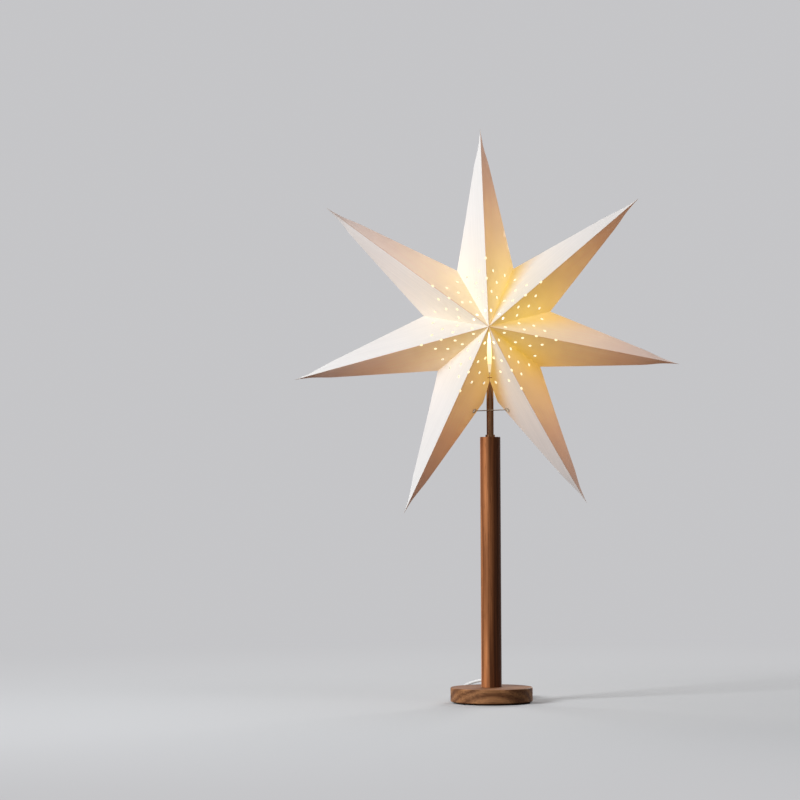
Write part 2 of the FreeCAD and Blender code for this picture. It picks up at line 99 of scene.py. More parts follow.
def wire(tree, socket, value):
    """Links a socket to another socket, or sets it to a plain value."""
    if isinstance(value, bpy.types.NodeSocket):
        tree.links.new(value, socket)
    else:
        socket.default_value = value


def add(made, kind, sockets=None, **settings):
    """A new node of a material or a world, with its settings and its input sockets."""
    tree = made.node_tree
    node = tree.nodes.new(kind)
    for key, value in settings.items():
        setattr(node, key, value)
    for key, value in (sockets or {}).items():
        wire(tree, node.inputs[key], value)
    return node


def ramp(made, factor, stops):
    """Colour from a factor, by stops of (position, colour)."""
    node = add(made, "ShaderNodeValToRGB", {"Fac": factor})
    marks = node.color_ramp.elements
    while len(marks) < len(stops):
        marks.new(0.5)
    for mark, (position, colour) in zip(marks, stops):
        mark.position = position
        mark.color = (*colour, 1.0)
    return node.outputs["Color"]


def maths(made, operation, first, second=0.0):
    return add(made, "ShaderNodeMath", {0: first, 1: second}, operation=operation).outputs[0]


def tint(made, colour, other):
    """One colour multiplied with another."""
    node = add(made, "ShaderNodeMix", {"Factor": 1.0}, data_type="RGBA", blend_type="MULTIPLY")
    sockets = [s for s in node.inputs if s.type == "RGBA"]
    wire(made.node_tree, sockets[0], colour)
    wire(made.node_tree, sockets[1], other)
    return [s for s in node.outputs if s.type == "RGBA"][0]


def stretched(made, source, scale, turn=(0.0, 0.0, 0.0), shift=(0.0, 0.0, 0.0)):
    """Coordinates that are stretched, turned and shifted for a pattern."""
    return add(made, "ShaderNodeMapping", {
        "Vector": source, "Scale": scale, "Rotation": turn, "Location": shift,
    }).outputs[0]


def noise(made, place, scale, detail, roughness=0.5):
    return add(made, "ShaderNodeTexNoise", {
        "Vector": place, "Scale": scale, "Detail": detail, "Roughness": roughness,
    }).outputs["Fac"]


def grey(value):
    return (value, value, value)


print("helpers are ready")

# %% [markdown]
# The star is seven folded points. In each point's own directions, u runs outward along the fold, v to the
# side and w forward or back, and a quarter of a point is the flat triangle between the peak, the inner
# corner and the tip. The mirror images of one quarter give all twenty-eight facets, so the flat sheet is
# worked out only once.

# %% Sizes of the star
point_count = 7
tip_reach = 0.280
valley_reach = 0.091
peak_reach = 0.080
paper_thickness = 0.0005
star_turn = math.radians(-1.8)
star_centre = np.array([-0.003, 0.0, 0.524])
half_step = math.pi / point_count

corner_local = np.array([valley_reach * math.cos(half_step), valley_reach * math.sin(half_step), 0.0])
peak_local = np.array([0.0, 0.0, peak_reach])
tip_local = np.array([tip_reach, 0.0, 0.0])
side_fall = peak_reach * (1 - corner_local[0] / tip_reach) / corner_local[1]
fold_length = float(np.linalg.norm(tip_local - peak_local))
fold_way = (tip_local - peak_local) / fold_length
side_way = corner_local - peak_local
side_way = side_way - fold_way * side_way.dot(fold_way)
side_way = side_way / np.linalg.norm(side_way)
facet_way = np.cross(fold_way, side_way)
facet_way = facet_way * np.sign(facet_way.dot(tip_local))
facet_reach = float(facet_way.dot(tip_local))
print("fold", round(fold_length, 4), "facet lies", round(facet_reach, 4), "from the centre")


def flatten(u, v):
    """Flat sheet place (along the fold, square to it) of a place that is seen from the front.
    Its depth falls from the peak with u and with v, and the place is then measured along the sheet's two
    ways."""
    u = np.asarray(u, float)
    v = np.asarray(v, float)
    depth = peak_reach * (1 - u / tip_reach) - side_fall * v
    place = np.stack([u, v, depth], -1) - peak_local
    return np.stack([place @ fold_way, place @ side_way], -1)


# %% [markdown]
# The holes were punched while the sheet was flat, so they are round there, and one that sits on the fold
# bends with it. The bottom seam is left open in a leaf shape, and lower down a slot widens round the tube.

# %% Holes and the bottom seam
hole_radius = 0.0022
# Places of the holes in millimetres, as seen from the front: outward and to the side, or outward on the fold.
side_holes = [(22.8, 3.9), (49.4, 5.7), (40.9, 13.2), (62.0, 13.7), (78.4, 9.2), (72.2, 25.9)]
fold_holes = [67.9, 96.2]
gap_start, gap_end, gap_half_width, gap_taper = 0.006, 0.066, 0.0031, 0.8
slot_start, slot_angle = 0.074, math.radians(17.5)
tie_distance, eyelet_radius, string_reach = 0.115, 0.0024, 0.00565

hole_centres = flatten(*(np.array(side_holes).T / 1000.0))
fold_centres = flatten(np.array(fold_holes) / 1000.0, np.zeros(len(fold_holes)))


def seam_place(down, side):
    """Place (u, v) in the lower points' directions, from the distance down the seam and to the side of it."""
    down = np.asarray(down, float)
    side = np.asarray(side, float)
    u = down * math.cos(half_step) + side * math.sin(half_step)
    v = down * math.sin(half_step) - side * math.cos(half_step)
    return u, v


def depth_beside_seam(side):
    u, v = seam_place(tie_distance, side)
    return peak_reach * (1 - u / tip_reach) - side_fall * v


probe = 0.01
near, far = depth_beside_seam(0.0), depth_beside_seam(probe)
tie_side = probe * (string_reach - near) / (far - near)
eyelet_centre = flatten(*seam_place(tie_distance, tie_side))
print("string goes through", round(float(tie_side) * 1000, 1), "mm beside the seam")

# %% [markdown]
# A facet's outline is walked once round in the flat sheet. Round holes can't be cut into a square grid of
# faces without ragged rims, so the outline, the hole rims and a lattice of inner places go to a constrained
# triangulation, and triangles that fall in a hole are dropped.

# %% The flat facets
lattice_step = 0.008
lattice_low, lattice_high = (0.006, 0.004), (fold_length, 0.07)
edge_margin = 0.35 * lattice_step
rim_margin, rim_slack = 1.5, 0.98
rim_sides, leaf_places = 20, 17


def run(start, end):
    """Evenly spaced places from start up to, but not with, end."""
    start = np.asarray(start, float)
    end = np.asarray(end, float)
    count = max(1, int(round(np.linalg.norm(end - start) / lattice_step)))
    share = np.arange(count)[:, None] / count
    return start + (end - start) * share


def fold_edge():
    """The fold from the peak to the tip, with a half circle round each hole that sits on it."""
    parts = []
    start = np.array([0.0, 0.0])
    turns = np.linspace(math.pi, 0.0, rim_sides // 2 + 1)
    for centre in fold_centres:
        rim = centre + hole_radius * np.stack([np.cos(turns), np.sin(turns)], -1)
        rim[[0, -1], 1] = 0.0
        parts += [run(start, rim[0]), rim[:-1]]
        start = rim[-1]
    return np.concatenate(parts + [run(start, (fold_length, 0.0))])


def root_edge(open_seam):
    """The way back from the outer edge to the peak: the straight glued valley, or the opened bottom seam."""
    if not open_seam:
        return flatten(*corner_local[:2]), run(flatten(*corner_local[:2]), (0.0, 0.0))
    rise = math.tan(half_step + math.atan2(corner_local[1], tip_reach - corner_local[0]))
    down = (rise * valley_reach - math.tan(slot_angle) * slot_start) / (rise - math.tan(slot_angle))
    mouth = flatten(*seam_place(down, (down - slot_start) * math.tan(slot_angle)))
    apex = flatten(*seam_place(slot_start, 0.0))
    share = np.linspace(1.0, 0.0, leaf_places)
    width = gap_half_width * np.sin(math.pi * share) ** gap_taper
    leaf = flatten(*seam_place(gap_start + (gap_end - gap_start) * share, width))
    return mouth, np.concatenate([run(mouth, apex), run(apex, leaf[0]), leaf[:-1], run(leaf[-1], (0.0, 0.0))])


def inside(places, outline):
    """Whether each place lies in the outline, by counting the outline's crossings to its right."""
    a = outline[None]
    b = np.roll(outline, -1, axis=0)[None]
    p = places[:, None]
    spans = (a[..., 1] > p[..., 1]) != (b[..., 1] > p[..., 1])
    rise = np.where(b[..., 1] == a[..., 1], 1.0, b[..., 1] - a[..., 1])
    cross = a[..., 0] + (p[..., 1] - a[..., 1]) * (b[..., 0] - a[..., 0]) / rise
    return (spans & (p[..., 0] < cross)).sum(1) % 2 == 1


def ring_edges(start, count):
    index = np.arange(count)
    return np.stack([start + index, start + (index + 1) % count], -1)


def cut_facet(open_seam):
    """Flat places and triangles of one facet with its holes."""
    end, root = root_edge(open_seam)
    outline = np.concatenate([fold_edge(), run((fold_length, 0.0), end), root])
    holes = [(c, hole_radius) for c in hole_centres]
    if open_seam:
        holes.append((eyelet_centre, eyelet_radius))
    turns = np.arange(rim_sides) * 2 * math.pi / rim_sides
    circle = np.stack([np.cos(turns), np.sin(turns)], -1)
    rings = [outline] + [centre + radius * circle for centre, radius in holes]
    edges = []
    start = 0
    for ring in rings:
        edges.append(ring_edges(start, len(ring)))
        start += len(ring)
    x, y = np.meshgrid(*(np.arange(low, high, lattice_step) for low, high in zip(lattice_low, lattice_high)))
    lattice = np.stack([x.ravel(), y.ravel()], -1)
    clear = inside(lattice, outline)
    for corner in outline:
        clear &= np.hypot(*(lattice - corner).T) > edge_margin
    for centre, radius in holes:
        clear &= np.hypot(*(lattice - centre).T) > rim_margin * radius
    places = np.concatenate(rings + [lattice[clear]])
    answer = delaunay_2d_cdt([Vector(p) for p in places], np.concatenate(edges).tolist(), [], 0, 1e-7)
    places = np.array([tuple(p) for p in answer[0]])
    triangles = np.array(answer[2])
    middle = places[triangles].mean(1)
    keep = inside(middle, outline)
    for centre, radius in holes:
        keep &= np.hypot(*(middle - centre).T) > rim_slack * radius
    triangles = triangles[keep]
    a, b, c = places[triangles].transpose(1, 0, 2)
    turn = (b - a)[:, 0] * (c - a)[:, 1] - (b - a)[:, 1] * (c - a)[:, 0]
    triangles[turn < 0] = triangles[turn < 0][:, ::-1]
    return places, triangles


facets = {open_seam: cut_facet(open_seam) for open_seam in (False, True)}
for open_seam, (places, triangles) in facets.items():
    print("open seam" if open_seam else "plain facet", len(places), "places", len(triangles), "triangles")

# %% [markdown]
# Paper is never quite flat: each facet bows out by about a millimetre, and near the tip the glued layers
# pull together to a thin spike. Both are small moves of the same flat places, so they stay exact at the
# folds, where the next facet begins.

# %% Bend a facet
bow = 0.0010
spike_start, spike_length, spike_pinch = 0.226, 0.054, 0.55
# Moves of each tip in millimetres: outward and to the side.
tip_moves = [(0.0, 0.0), (0.0, 0.0), (-6.5, -1.0), (2.0, -9.0), (4.5, 3.5), (0.0, 0.0), (2.0, 1.5)]


def smooth_step(value):
    """Zero below 0, one above 1, and an even curve between."""
    value = np.clip(value, 0.0, 1.0)
    return value * value * (3 - 2 * value)


def bend_facet(places, skin):
    """Places (u, v, w) of flat places: the sheet's two ways summed, plus a bow square to the sheet that is
    zero on its edges (27 times the product of the three corner shares). A skin share below one gives the
    inner side of the sheet. Then the tip's sides are drawn in, outer and inner side alike."""
    corner = flatten(*corner_local[:2])
    share_side = places[:, 1] / corner[1]
    share_tip = (places[:, 0] - share_side * corner[0]) / fold_length
    share_peak = 1 - share_side - share_tip
    swell = np.clip(27 * share_side * share_tip * share_peak, 0.0, 1.0)
    level = peak_local + places[:, :1] * fold_way + places[:, 1:] * side_way
    bent = (level + (bow * swell)[:, None] * facet_way) * skin
    bent[:, 1] *= 1 - spike_pinch * smooth_step((bent[:, 0] - spike_start) / spike_length)
    return bent


def sway(bent, number, hand):
    """The point leans as it was glued: its tip's move, times the square of the share of the way out."""
    share = np.clip(bent[:, 0] / tip_reach, 0.0, 1.0) ** 2
    outward_move, side_move = np.array(tip_moves[number]) / 1000.0
    return bent + np.stack([share * outward_move, hand * share * side_move, 0.0 * share], -1)


print("bow", bow * 1000, "mm, tip drawn in by", spike_pinch)

# %% [markdown]
# A camera shows a lit lamp in a lit room with little room at the top of its range: where the studio light
# falls on the paper, the glow hardly adds to it, and where the paper lies in shade the glow is all that
# shows. So each place first finds out how much studio light reaches it. That is a sum over places on each
# lamp: the cosine to the facet, and nothing where one of the star's own facets stands in the way.

# %% Studio light that reaches the paper
key_way = np.array([-0.77, -0.57, 0.33])
rear_way = np.array([0.42, 0.85, 0.32])
rear_left_way = np.array([-0.55, 0.75, 0.45])
fill_way = np.array([0.55, -0.45, 0.70])
# Way to each lamp, its distance and width, the level that it gives white paper, and its colour.
lamps = {
    "key_lamp": (key_way, 3.4, 1.2, 1.02, (0.95, 0.98, 1.0)),
    "fill_lamp": (fill_way, 3.4, 2.0, 0.15, (1.0, 1.0, 1.0)),
    "rear_lamp": (rear_way, 3.4, 1.6, 0.50, (1.0, 1.0, 1.0)),
    "rear_left_lamp": (rear_left_way, 3.4, 1.6, 0.30, (1.0, 1.0, 1.0)),
}
strong_lamps = ["key_lamp", "rear_lamp", "rear_left_lamp"]
lamp_steps = (-1, 0, 1)
skin_lift = 3e-4


def point_ways(number):
    """Outward, sideways and back directions of one point."""
    angle = star_turn + 2 * math.pi * number / point_count
    out = np.array([math.sin(angle), 0.0, math.cos(angle)])
    side = np.array([math.cos(angle), 0.0, -math.sin(angle)])
    return out, side, np.array([0.0, 1.0, 0.0])


def place_facet(bent, number, hand, face):
    """Places from the centre of the star, from a point's own (u, v, w)."""
    out, side, back = point_ways(number)
    return bent[:, :1] * out + hand * bent[:, 1:2] * side + face * bent[:, 2:] * back


shades = [
    place_facet(np.array([peak_local, corner_local, tip_local]), number, hand, face)
    for number in range(point_count) for hand in (-1, 1) for face in (-1, 1)
]


def blocked(places, way):
    """Whether a ray from each place along a way meets a facet: the usual ray and triangle test, whose two
    shares along the triangle's sides lie between 0 and 1 and whose distance is ahead."""
    hit = np.zeros(len(places), bool)
    for a, b, c in shades:
        first, second = b - a, c - a
        lean = np.cross(way, second)
        scale = first.dot(lean)
        if abs(scale) < 1e-12:
            continue
        offset = places - a
        u = offset @ lean / scale
        turned = np.cross(offset, first)
        v = turned @ way / scale
        ahead = turned @ second / scale
        hit |= (u > 0) & (v > 0) & (u + v < 1) & (ahead > 1e-5)
    return hit


def studio_light(places, normal):
    """Level of the strong lamps on each place of one facet, averaged over nine places on each lamp."""
    total = np.zeros(len(places))
    start = places + normal * skin_lift
    for way, distance, size, level, _ in (lamps[name] for name in strong_lamps):
        way = way / np.linalg.norm(way)
        first = np.cross(way, (0.0, 0.0, 1.0))
        first = first / np.linalg.norm(first)
        second = np.cross(way, first)
        for i in lamp_steps:
            for j in lamp_steps:
                aim = way + (first * i + second * j) * size / distance / len(lamp_steps)
                aim = aim / np.linalg.norm(aim)
                facing = float(normal.dot(aim))
                if facing > 0:
                    total += level / len(lamp_steps) ** 2 * facing * ~blocked(start, aim)
    return total


glow_cover, full_cover, painted_top_light_gain = 0.94, 0.88, 0.16
valley_level, valley_share = 0.80, 0.12


def glow_share(flat, number, hand, face):
    """Share of the inner light that shows: one in the shade, less in proportion to the studio light, and less
    in the glued valley, where two layers lie together. Facets that look up get a little more, which is
    painted light from above."""
    corner = flatten(*corner_local[:2])
    off_valley = (flat[:, 0] - flat[:, 1] / corner[1] * corner[0]) / fold_length
    valley = valley_level + (1 - valley_level) * smooth_step(off_valley / valley_share)
    level = peak_local + flat[:, :1] * fold_way + flat[:, 1:] * side_way
    corners = place_facet(np.array([peak_local, corner_local, tip_local]), number, hand, face)
    normal = np.cross(corners[1] - corners[0], corners[2] - corners[0])
    normal = normal / np.linalg.norm(normal) * np.sign(normal.dot(corners[2]))
    light = studio_light(place_facet(level, number, hand, face), normal)
    outshone = glow_cover * np.clip(light / full_cover, 0.0, 1.0)
    # Painted light from above: the glow grows with how far the facet faces up.
    return valley * (1.0 + painted_top_light_gain * normal[2]) * (1.0 - outshone)


print("lamps", list(lamps), "shading facets", len(shades))

# %% [markdown]
# A folded point is four bent facets, mirrored and merged along their folds. The inner skin is the same
# sheet drawn a little towards the star's centre, which gives an even thickness because every facet is
# equally far from it. Narrow faces close the rims, so the paper is a real closed sheet and not a bare
# surface.

# %% Fold the seven points
sharp_angle = math.radians(20)
plain_place = 0.02


def new_piece(name, places, faces, materials, skins=None, maps=None, glow=None):
    """A mesh object at the origin, from places and faces, with materials, a flat map and a glow share."""
    mesh = bpy.data.meshes.new(name)
    mesh.from_pydata(places.tolist(), [], faces)
    for each in materials:
        mesh.materials.append(each)
    if skins is not None:
        mesh.polygons.foreach_set("material_index", np.asarray(skins, np.int32))
    if maps is not None:
        layer = mesh.uv_layers.new(name="flat_sheet")
        layer.data.foreach_set("uv", np.asarray(maps, np.float32).ravel())
    if glow is not None:
        layer = mesh.attributes.new("glow", "FLOAT", "CORNER")
        layer.data.foreach_set("value", np.asarray(glow, np.float32))
    mesh.shade_smooth()
    mesh.set_sharp_from_angle(angle=sharp_angle)
    piece = bpy.data.objects.new(name, mesh)
    scene.collection.objects.link(piece)
    return piece


def folded_sheet(number):
    """Places, faces, skins, map and glow of one point, from its four facets."""
    right_of_seam = (point_count - 1) // 2
    share = (facet_reach - paper_thickness) / facet_reach
    places, inner_places, triangles, maps, glows = [], [], [], [], []
    start = 0
    for face in (-1, 1):
        for hand in (-1, 1):
            open_seam = (number, hand) in ((right_of_seam, 1), (right_of_seam + 1, -1))
            flat, cut = facets[open_seam]
            for skin, kept in ((1.0, places), (share, inner_places)):
                bent = sway(bend_facet(flat, skin), number, hand)
                kept.append(place_facet(bent, number, hand, face))
            glows.append(glow_share(flat, number, hand, face))
            corners = cut if hand * face < 0 else cut[:, ::-1]
            triangles.append(corners + start)
            maps.append(flat * (1.0, float(hand)))
            start += len(flat)
    places, triangles = np.concatenate(places), np.concatenate(triangles)
    maps, glows = np.concatenate(maps)[triangles], np.concatenate(glows)[triangles]
    merged, first, index = np.unique(np.round(places, 6), axis=0, return_index=True, return_inverse=True)
    merged, merged_inner = places[first], np.concatenate(inner_places)[first]
    outer = index.reshape(-1)[triangles]
    normal = np.cross(merged[outer[:, 1]] - merged[outer[:, 0]], merged[outer[:, 2]] - merged[outer[:, 0]])
    if (normal * merged[outer].mean(1)).sum() < 0:
        outer, maps, glows = outer[:, ::-1], maps[:, ::-1], glows[:, ::-1]
    inner = outer[:, ::-1] + len(merged)
    steps = np.concatenate([outer[:, [0, 1]], outer[:, [1, 2]], outer[:, [2, 0]]])
    code = steps[:, 0] * len(merged) + steps[:, 1]
    mirror = steps[:, 1] * len(merged) + steps[:, 0]
    rim = steps[~np.isin(code, mirror)]
    rims = np.stack([rim[:, 1], rim[:, 0], rim[:, 0] + len(merged), rim[:, 1] + len(merged)], -1)
    places = np.concatenate([merged, merged_inner]) + star_centre
    faces = outer.tolist() + inner.tolist() + rims.tolist()
    skins = [0] * len(outer) + [1] * len(inner) + [1] * len(rims)
    rim_map = np.full((4 * len(rims), 2), plain_place)
    maps = np.concatenate([maps.reshape(-1, 2), maps[:, ::-1].reshape(-1, 2), rim_map])
    glows = np.concatenate([glows.ravel(), glows[:, ::-1].ravel(), np.ones(4 * len(rims))])
    return places, faces, skins, maps, glows


star_pieces = []
for number in range(point_count):
    places, faces, skins, maps, glows = folded_sheet(number)
    piece = new_piece(f"paper_point_{number + 1}", places, faces, [], skins, maps, glows)
    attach(piece, "root")
    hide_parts(f"star_point_{number + 1}")
    star_pieces.append(piece)
print("faces of one point", len(star_pieces[0].data.polygons))

# %% [markdown]
# Lit paper could be a translucent shader round a strong bulb, which is noisy and is lost in an exported
# model. Here the paper is plain diffuse paper with a soft emission whose colour depends on the distance from
# the bulb: golden beside it, orange-brown further out and faint at the tips. Its base colour is painted a
# little warmer near the bulb, painted light. Fine fibres run along the fold, and along the crease a thin
# darker line is painted shade.

# %% Paper outside
lamp_place = (0.010, 0.0, 0.542)
glow_start, glow_end = 0.050, 0.290
crease_shade_width = 0.004


def reach_from_bulb(made):
    """The place on the paper, and its reach from the bulb: zero beside it and one at the tips."""
    here = add(made, "ShaderNodeTexCoord").outputs["Object"]
    far_off = add(
        made, "ShaderNodeVectorMath", {0: here, 1: lamp_place}, operation="DISTANCE",
    ).outputs["Value"]
    reach = add(made, "ShaderNodeMapRange", {
        "Value": far_off, "From Min": glow_start, "From Max": glow_end,
    }).outputs["Result"]
    return here, reach


paper, shader = start_material("folded_paper", (0.85, 0.81, 0.78), 0.85, 0.0, 0.15)
here, reach = reach_from_bulb(paper)
sheet_map = add(paper, "ShaderNodeUVMap", uv_map="flat_sheet").outputs[0]
fibres = noise(paper, stretched(paper, sheet_map, (9.0, 420.0, 1.0)), 1.0, 5.0, 0.6)
mottle = noise(paper, here, 70.0, 5.0, 0.6)
across_fold = add(paper, "ShaderNodeSeparateXYZ", {"Vector": sheet_map}).outputs["Y"]
fold_distance = maths(paper, "ABSOLUTE", across_fold)
# Painted shade: a thin darker line along the fold, in the base colour and in the glow alike.
painted_crease_shade = ramp(paper, maths(paper, "MULTIPLY", fold_distance, 1 / crease_shade_width), [
    (0.0, (0.72, 0.60, 0.50)), (0.10, (0.80, 0.70, 0.62)), (0.20, grey(1.0)), (1.0, grey(1.0)),
])

# The paper's base colour is painted warmer near the bulb and paler toward the tips: painted light from the
# bulb.
body = ramp(paper, reach, [
    (0.0, (0.86, 0.79, 0.68)), (0.18, (0.86, 0.80, 0.74)),
    (0.40, (0.85, 0.81, 0.785)), (1.0, (0.84, 0.815, 0.80)),
])
body = tint(paper, body, ramp(paper, fibres, [(0.30, grey(0.93)), (0.70, grey(1.0))]))
body = tint(paper, body, painted_crease_shade)
wire(paper.node_tree, shader.inputs["Base Color"], body)

warmth = ramp(paper, reach, [
    (0.0, (0.66, 0.42, 0.050)), (0.12, (0.60, 0.34, 0.040)), (0.25, (0.54, 0.275, 0.050)),
    (0.40, (0.48, 0.225, 0.050)), (0.55, (0.37, 0.145, 0.035)), (0.80, (0.24, 0.090, 0.030)),
    (1.0, (0.12, 0.050, 0.025)),
])
warmth = tint(paper, warmth, ramp(paper, fibres, [(0.25, grey(0.86)), (0.75, grey(1.06))]))
warmth = tint(paper, warmth, ramp(paper, mottle, [(0.30, grey(0.88)), (0.70, grey(1.05))]))
warmth = tint(paper, warmth, painted_crease_shade)
glow = add(paper, "ShaderNodeAttribute", attribute_name="glow").outputs["Fac"]
glow_colour = add(paper, "ShaderNodeCombineColor", {"Red": glow, "Green": glow, "Blue": glow}).outputs[0]
wire(paper.node_tree, shader.inputs["Emission Color"], tint(paper, warmth, glow_colour))
shader.inputs["Emission Strength"].default_value = 1.0
bump = add(paper, "ShaderNodeBump", {"Height": fibres, "Strength": 0.18, "Distance": 0.0004})
wire(paper.node_tree, shader.inputs["Normal"], bump.outputs[0])

# %% [markdown]
# The inside of the paper is what the holes and the seam show, and it is the brightest thing in the picture.
# Its own colour is dark and its emission carries the light, because bright walls that face each other would
# add up.

# %% Paper inside
lit_paper, shader = start_material("lit_paper_inside", (0.10, 0.09, 0.08), 0.9, 0.0, 0.0)
here, reach = reach_from_bulb(lit_paper)
inner_light = ramp(lit_paper, reach, [
    (0.0, (1.0, 0.88, 0.60)), (0.40, (1.0, 0.82, 0.50)),
    (0.65, (0.72, 0.46, 0.20)), (1.0, (0.25, 0.12, 0.05)),
])
fleck = noise(lit_paper, here, 220.0, 3.0)
inner_light = tint(lit_paper, inner_light, ramp(lit_paper, fleck, [(0.3, grey(0.93)), (0.7, grey(1.0))]))
wire(lit_paper.node_tree, shader.inputs["Emission Color"], inner_light)
shader.inputs["Emission Strength"].default_value = 1.25
for piece in star_pieces:
    piece.data.materials.append(paper)
    piece.data.materials.append(lit_paper)
print("paper on", len(star_pieces), "points")

# %% [markdown]
# The pole and the base are solid walnut-brown wood. Real grain is a solid pattern: growth rings round a
# far-off heart, bent by slow waves, with fine fibres and pores along the log. A cut through that pattern
# gives long lines on the pole and arcs on the disc, so one recipe serves both, with the log standing in one
# and lying in the other.

# %% Wood
def wood(name, turn, shift, light, dark, ring_gap, shade_side_way=None):
    """Wood with rings round the pattern's own Z axis: brightness follows a sine of the bent distance from it.
    With a way to its shaded side, the wood is painted lighter on the far side from that way and darker along
    it: painted light and shade across the pole."""
    made, shader = start_material(name, light, 0.55, 0.0, 0.22)
    shader.inputs["Specular Tint"].default_value = (1.0, 0.80, 0.62, 1.0)
    here = add(made, "ShaderNodeTexCoord").outputs["Object"]
    log = stretched(made, here, (1.0, 1.0, 1.0), turn, shift)
    waves = noise(made, stretched(made, log, (14.0, 14.0, 2.2)), 1.0, 3.0, 0.5)
    flat = add(made, "ShaderNodeVectorMath", {0: log, 1: (1.0, 1.0, 0.0)}, operation="MULTIPLY").outputs[0]
    spread = add(made, "ShaderNodeVectorMath", {0: flat}, operation="LENGTH").outputs["Value"]
    bent = maths(made, "ADD", spread, maths(made, "MULTIPLY", waves, ring_gap * 3.2))
    rings = maths(made, "SINE", maths(made, "MULTIPLY", bent, 2 * math.pi / ring_gap))
    rings = maths(made, "ADD", maths(made, "MULTIPLY", rings, 0.5), 0.5)
    fibres = noise(made, stretched(made, log, (520.0, 520.0, 9.0)), 1.0, 6.0, 0.65)
    streaks = noise(made, stretched(made, log, (130.0, 130.0, 3.0)), 1.0, 4.0, 0.6)
    pores = noise(made, stretched(made, log, (1500.0, 1500.0, 45.0)), 1.0, 2.0, 0.5)
    mix = maths(made, "ADD", maths(made, "MULTIPLY", rings, 0.34), maths(made, "MULTIPLY", streaks, 0.66))
    middle = tuple((a + b) / 2 for a, b in zip(light, dark))
    colour = ramp(made, mix, [(0.28, dark), (0.52, middle), (0.74, light)])
    # Painted light and shade: the pole is lighter on one side and darker on the other, along the given way.
    if shade_side_way is not None:
        toward_painted_shade = add(
            made, "ShaderNodeVectorMath", {0: here, 1: shade_side_way}, operation="DOT_PRODUCT",
        ).outputs["Value"]
        slow = noise(made, stretched(made, here, (30.0, 30.0, 5.0)), 1.0, 2.0, 0.5)
        toward_painted_shade = maths(made, "ADD", toward_painted_shade, maths(made, "MULTIPLY", slow, 0.9))
        colour = tint(made, colour, ramp(made, toward_painted_shade, [
            (0.0, (1.50, 1.28, 1.10)), (0.34, (0.48, 0.36, 0.28)), (0.70, (0.30, 0.20, 0.15)),
        ]))
    colour = tint(made, colour, ramp(made, fibres, [(0.32, grey(0.62)), (0.62, grey(1.05))]))
    colour = tint(made, colour, ramp(made, pores, [(0.28, (0.28, 0.24, 0.22)), (0.38, grey(1.0))]))
    wire(made.node_tree, shader.inputs["Base Color"], colour)
    rough = ramp(made, fibres, [(0.3, grey(0.66)), (0.7, grey(0.50))])
    wire(made.node_tree, shader.inputs["Roughness"], rough)
    relief = maths(made, "ADD", fibres, pores)
    bump = add(made, "ShaderNodeBump", {"Height": relief, "Strength": 0.25, "Distance": 0.0005})
    wire(made.node_tree, shader.inputs["Normal"], bump.outputs[0])
    return made


def dress(made, *names):
    """Gives kept nodes a material."""
    for name in names:
        kept = nodes[name]
        kept.data.materials.clear()
        kept.data.materials.append(made)


pole_wood = wood(
    "pole_wood", (0.0, 0.0, 0.0), (0.045, 0.06, 0.0),
    (0.46, 0.205, 0.090), (0.17, 0.064, 0.024), 0.0045, shade_side_way=(54.0, 4.0, 0.0),
)
disc_wood = wood(
    "disc_wood", (0.0, math.radians(90), math.radians(24)), (-0.070, -0.064, 0.0),
    (0.48, 0.215, 0.090), (0.17, 0.064, 0.026), 0.011,
)
dress(pole_wood, "wooden_pole")
dress(disc_wood, "base_disc")
print("wood on the pole and the base")

# %% [markdown]
# The tube is lacquered brass drawn lengthwise, so faint lines run along it. The same drawn finish in other
# colours serves the screws, the contacts and the pins.

# %% Metal
def drawn_metal(name, colour, roughness, scale=(900.0, 900.0, 12.0)):
    """Metal with fine lines along one way: a stretched noise drives the roughness and a faint bump. A coarser
    stretched noise darkens the colour in soft bands, a painted reflection of a dark room.
    """
    made, shader = start_material(name, colour, roughness, 1.0, 0.5)
    here = add(made, "ShaderNodeTexCoord").outputs["Object"]
    lines = noise(made, stretched(made, here, scale), 1.0, 4.0, 0.6)
    stain = noise(made, here, 55.0, 4.0, 0.55)
    darker = tuple(0.72 * c for c in colour)
    # Painted reflection: soft dark bands, as a dark room mirrored in the metal.
    painted_reflection_bands = noise(made, stretched(made, here, tuple(0.35 * s for s in scale)), 1.0, 2.0, 0.5)
    shade = ramp(made, stain, [(0.35, darker), (0.65, colour)])
    shade = tint(made, shade, ramp(made, painted_reflection_bands, [(0.36, grey(0.42)), (0.60, grey(1.0))]))
    wire(made.node_tree, shader.inputs["Base Color"], shade)
    low, high = max(0.05, roughness - 0.08), roughness + 0.10
    wire(made.node_tree, shader.inputs["Roughness"], ramp(made, lines, [(0.3, grey(low)), (0.7, grey(high))]))
    bump = add(made, "ShaderNodeBump", {"Height": lines, "Strength": 0.12, "Distance": 0.0002})
    wire(made.node_tree, shader.inputs["Normal"], bump.outputs[0])
    return made


# The brass is coloured much darker than brass is: painted reflection of a dark room.
brass = drawn_metal("drawn_brass", (0.24, 0.115, 0.055), 0.24)
steel = drawn_metal("plated_steel", (0.62, 0.62, 0.62), 0.34, (300.0, 300.0, 300.0))
copper = drawn_metal("bare_copper", (0.75, 0.36, 0.22), 0.3)
nickel = drawn_metal("nickel_pins", (0.72, 0.70, 0.66), 0.25, (12.0, 900.0, 900.0))
dress(brass, "brass_tube", "tube_collar", "threaded_sleeve", "centre_contact", "tube_locknut")
dress(steel, "base_screws", "terminal_screws", "grub_screw")
dress(copper, "cable_wires")
dress(nickel, "plug_pins")
print("metal on the tube and the fittings")

# %% [markdown]
# Thread, felt and moulded plastic each need only one small-scale pattern: a twist for the thread, a fuzz
# for the felt, and the faint pebble of a mould for the plastic.

